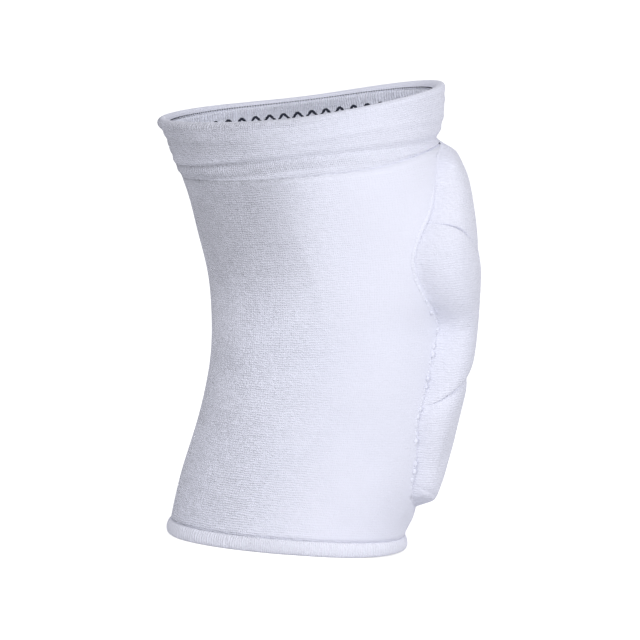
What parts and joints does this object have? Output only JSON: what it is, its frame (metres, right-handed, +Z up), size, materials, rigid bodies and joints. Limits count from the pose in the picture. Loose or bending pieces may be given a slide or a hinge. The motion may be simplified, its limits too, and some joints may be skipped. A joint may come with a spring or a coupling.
{
  "type": "volleyball knee pad",
  "caption": "Bent tubular knit knee sleeve with a folded elastic cuff, a rolled hem and segmented foam padding over the kneecap.",
  "frame": {"origin": "middle of the box round the whole pad, on the plane that the hem stands on", "axes": "+Z up the sleeve from the hem to the cuff, +X to the front of the knee where the padding is, +Y to the side"},
  "size_m": [0.1544, 0.0942, 0.2169],
  "materials": {
    "sleeve": "white terry-like cotton and polyester knit",
    "top_cuff": "white folded knit band with a fuzzy ribbed rim",
    "inner_elastic": "white ruched elastic with a dark zigzag row",
    "bottom_hem": "white overlocked knit roll",
    "pad_lower": "white knit over foam",
    "pad_middle": "white knit over foam",
    "pad_upper": "white knit over foam"
  },
  "bodies": {
    "root": {"sleeve": "sleeve", "top_cuff": "top_cuff", "inner_elastic": "inner_elastic", "bottom_hem": "bottom_hem", "pad_lower": "pad_lower", "pad_middle": "pad_middle", "pad_upper": "pad_upper"}
  },
  "joints": []
}
